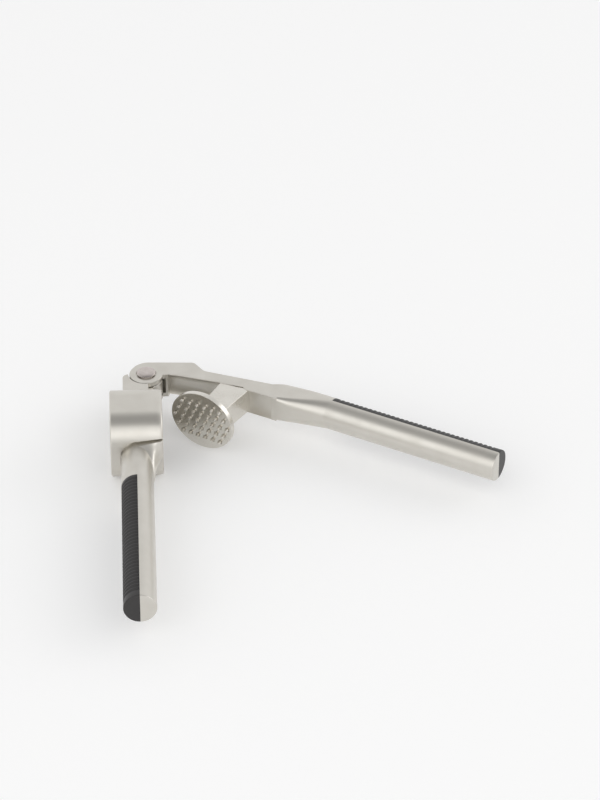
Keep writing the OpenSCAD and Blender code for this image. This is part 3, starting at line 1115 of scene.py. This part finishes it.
@dataclass
class RivetSet:
    """Rivet, its collar, the bush that it turns in and the two washers."""

    joint: Joint
    shank_r: float = 2.5
    head_r: float = 4.8
    head_h: float = 1.4
    seat: float = 0.9
    arm_half: float = 6.9
    tongue_half: float = 4.0
    bush_inner: float = 2.55
    bush_outer: float = 3.65
    washer_r: float = 7.5
    washer_t: float = 0.4
    play: float = 0.05

    def stood(self, solid: Solid, name: str) -> Piece:
        """Stands a turned solid on the joint's axis, as a piece."""
        return placed(to_object(solid, name), self.joint.rivet_frame())

    def rivet(self) -> Piece:
        """Rivet with a low domed head above and a formed end below."""
        seat, top, r = self.arm_half - self.seat, self.arm_half + self.head_h, self.head_r
        s = self.shank_r
        formed = ((0.6, 0), (0.95, 0.12), (1.15, 0.4), (1.1, 0.7), (0, 1.1))
        dome = ((0.05, 0.58), (0.45, 0.3), (0.8, 0.17), (1.6, 0.07), (2.8, 0.015))
        profile = [(0, -top)] + [(s + out, up - top) for out, up in formed]
        profile += [(s, seat), (r - 1.5, seat), (r - 1.4, top - 1.0), (r - 0.12, top - 0.95)]
        profile += [(r, top - 0.8)] + [(r - inset, top - down) for inset, down in dome] + [(0, top)]
        return self.stood(turned(profile, 128), "rivet")

    def collar(self) -> Piece:
        """Collar under the rivet's formed end."""
        seat, top, r = self.arm_half - self.seat, self.arm_half + self.head_h, self.head_r
        s = self.shank_r + 0.01
        profile = [(s, -seat), (r - 0.1, -seat), (r, -seat - 0.1), (r, 0.95 - top)]
        profile += [(r - 0.15, 0.68 - top), (r - 0.5, 0.6 - top), (s + 1.15, 0.72 - top), (s, 1.1 - top)]
        return self.stood(turned(profile, 96), "rivet_collar_ring")

    def bush(self) -> Piece:
        """Bush pressed into the tongue, with eased edges."""
        h, a, b, e = self.tongue_half, self.bush_inner, self.bush_outer, 0.2
        profile = [(a + e, -h), (b - e, -h), (b, e - h), (b, h - e)]
        profile += [(b - e, h), (a + e, h), (a, h - e), (a, e - h)]
        return self.stood(turned(profile, 64), "bush")

    def washer(self, side: int) -> Piece:
        """Thin washer above (1) or below (-1) the tongue."""
        low = self.tongue_half + self.play
        high = low + self.washer_t
        a, b, e = self.bush_inner, self.washer_r, 0.1
        profile = [(a, low), (b - e, low), (b, low + e), (b, high - e), (b - e, high), (a, high)]
        name = "washer_upper" if side > 0 else "washer_lower"
        return self.stood(turned([(r, side * z) for r, z in profile], 64), name)

    def dress(self, steel: Finish) -> None:
        """Enters the five pieces: steel rivet and collar, bronze bush and nylon washers."""
        entered(self.rivet(), Body.PLUNGER, "pivot_rivet", steel)
        entered(self.collar(), Body.PLUNGER, "rivet_collar", steel)
        bronze = RolledMetal("drawn_bronze", "B08D57", "8F6E3F", 0.35)
        entered(self.bush(), Body.CHAMBER, "pivot_bush", bronze)
        nylon = MouldedRubber("moulded_nylon", "DDDDD6", "D2D2CA", 0.45, 0.6, 0.01)
        for side, node in ((1, "upper_washer"), (-1, "lower_washer")):
            entered(self.washer(side), Body.PLUNGER, node, nylon)


@dataclass
class Sieve:
    """Oval pierced plate that rests on the chamber's ledge."""

    plunger: Plunger
    length: float = 37.4
    height: float = 32.0
    back_y: float = -10.1
    thickness: float = 2.4
    hole_r: float = 1.4
    shift: float = -0.45

    def build(self) -> Piece:
        """Lofts the plate, pierces it and places it."""
        back, front = self.back_y, self.back_y + self.thickness
        rim, ease, play = 0.25, 0.15, 0.02
        rings = [
            oval_ring(0, y, self.length / 2 - inset, self.height / 2 - inset)
            for y, inset in ((back, rim), (back + ease, play), (front - ease, play), (front, rim))
        ]
        plate = to_object(loft(rings), "sieve")
        punches = []
        for along, up in self.plunger.pin_places():
            punch = rod(self.hole_r, -front - 1, -back + 1, 24)
            place = Matrix.Translation((along + self.shift, 0, up))
            punches.append(moved(punch, place @ LYING))
        worked(plate, combined(punches), Work.CUT)
        return placed(plate, self.plunger.joint.chamber_frame())

    def dress(self) -> None:
        """Enters the sieve, in rolled steel."""
        entered(self.build(), Body.CHAMBER, "sieve_plate", RolledMetal())


@dataclass
class Dowel:
    """Dowel through the plunger block's tenon, driven in from below."""

    joint: Joint
    x: float = 45.25
    y: float = 13.9
    radius: float = 1.5
    low: float = -6.5
    high: float = 2.0

    def build(self) -> Piece:
        """Turns the dowel with eased ends and places it."""
        r, low, high, e = self.radius, self.low, self.high, 0.25
        profile = [(0, low), (r - e, low), (r, low + e), (r, high - e), (r - e, high), (0, high)]
        dowel = moved(turned(profile, 40), Matrix.Translation((self.x, self.y, 0)))
        return placed(to_object(dowel, "dowel"), self.joint.arm_frame())

    def dress(self, steel: Finish) -> None:
        """Enters the dowel, in steel."""
        entered(self.build(), Body.PLUNGER, "plunger_dowel", steel)


# ---- the studio


@dataclass
class Softbox:
    """Oblong soft light that faces the press."""

    name: str
    azimuth: float
    elevation: float
    distance: float
    width: float
    height: float
    radiance: float

    def build(self, target: Vector) -> None:
        """Makes the light and turns it to the target."""
        data = bpy.data.lights.new(self.name, "AREA")
        data.shape, data.size, data.size_y = "RECTANGLE", self.width, self.height
        data.energy = self.radiance * math.pi * self.width * self.height
        lamp = bpy.data.objects.new(self.name, data)
        a, e = math.radians(self.azimuth), math.radians(self.elevation)
        out = Vector((math.cos(e) * math.cos(a), math.cos(e) * math.sin(a), math.sin(e)))
        lamp.location = target + out * self.distance
        lamp.rotation_euler = out.to_track_quat("Z", "Y").to_euler()
        bpy.context.scene.collection.objects.link(lamp)


@dataclass
class Studio:
    """Pale floor, soft light and the camera."""

    camera_place: tuple[float, float, float] = (1.4042, 0.0105, 1.0285)
    azimuth: float = 87.11
    elevation: float = 35.24
    lens: float = 156.3
    floor_colour: str = "F6F6F6"
    floor_glow: float = 0.13
    sky: tuple[tuple[float, float], ...] = ((0.0, 0.85), (0.57, 0.97), (0.85, 0.58), (0.94, 0.38))
    softboxes: list[Softbox] = field(
        default_factory=lambda: [
            Softbox("front_softbox", -10, 42, 3.2, 6.0, 3.1, 0.5),
            Softbox("right_softbox", 105, 26, 3.2, 2.2, 1.5, 0.9),
        ]
    )

    def camera(self) -> None:
        """Makes the camera and gives it to the scene."""
        data = bpy.data.cameras.new("camera")
        data.lens, data.sensor_width = self.lens, 36.0
        data.clip_start, data.clip_end = 0.05, 50.0
        camera = bpy.data.objects.new("camera", data)
        camera.location = self.camera_place
        camera.rotation_euler = (math.radians(90 - self.elevation), 0, math.radians(self.azimuth))
        bpy.context.scene.collection.objects.link(camera)
        bpy.context.scene.camera = camera

    def sky_light(self) -> None:
        """Lights the scene from all round, dimmer overhead."""
        world = bpy.data.worlds.new("soft_room")
        bpy.context.scene.world = world
        world.use_nodes = True
        tree = world.node_tree
        tree.nodes.clear()
        place = add_node(tree, "ShaderNodeTexCoord").outputs["Generated"]
        parts = add_node(tree, "ShaderNodeSeparateXYZ", inputs={"Vector": place})
        ramp = add_node(tree, "ShaderNodeValToRGB", inputs={"Fac": parts.outputs["Z"]})
        elements = ramp.color_ramp.elements
        while len(elements) < len(self.sky):
            elements.new(0.5)
        for element, (position, value) in zip(elements, self.sky):
            element.position = position
            element.color = (value, value, value, 1)
        colour = {"Color": ramp.outputs["Color"], "Strength": 1.0}
        glow = add_node(tree, "ShaderNodeBackground", inputs=colour)
        add_node(tree, "ShaderNodeOutputWorld", inputs={"Surface": glow.outputs["Background"]})

    def floor(self) -> None:
        """Lays a plain pale floor under the press."""
        bm = bmesh.new()
        bmesh.ops.create_circle(bm, cap_ends=True, segments=96, radius=6.0)
        floor = to_object(bm, "floor")
        paint = bpy.data.materials.new("matt_paper")
        paint.use_nodes = True
        shader = paint.node_tree.nodes["Principled BSDF"]
        for socket, value in {
            "Base Color": linear(self.floor_colour),
            "Roughness": 0.9,
            "Specular IOR Level": 0.1,
            "Emission Color": (1.0, 1.0, 1.0, 1.0),
            "Emission Strength": self.floor_glow,
        }.items():
            shader.inputs[socket].default_value = value
        floor.data.materials.append(paint)
        floor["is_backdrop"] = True

    def build(self, target: Vector) -> None:
        """Sets up the camera, the light and the floor."""
        self.camera()
        self.sky_light()
        for softbox in self.softboxes:
            softbox.build(target)
        self.floor()
        bpy.context.scene.view_settings.view_transform = "Standard"


# ---- the job


def corners_of_shown() -> list[list[float]]:
    """Lowest and highest corner of what is shown, as plain lists."""
    return [list(corner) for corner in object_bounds()]


def main() -> None:
    """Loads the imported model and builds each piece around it."""
    logging.basicConfig(level=logging.INFO, format="%(name)s: %(message)s")
    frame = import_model()
    cad_box = corners_of_shown()
    joint = Joint(Vector(frame["joints"][0]["pos_m"]) / MM)

    low, high = (Vector(corner) for corner in cad_box)
    Studio().build((low + high) / 2)

    casting, rubber = BlastedNickel(), MouldedRubber()
    ChamberArm(joint).dress(casting, rubber)
    PlungerArm(joint).dress(casting, rubber)
    plunger = Plunger(joint)
    plunger.dress()
    steel = TurnedSteel(centre_mm=tuple(joint.place))
    RivetSet(joint).dress(steel)
    Sieve(plunger).dress()
    Dowel(joint).dress(steel)


if __name__ == "__main__":
    main()
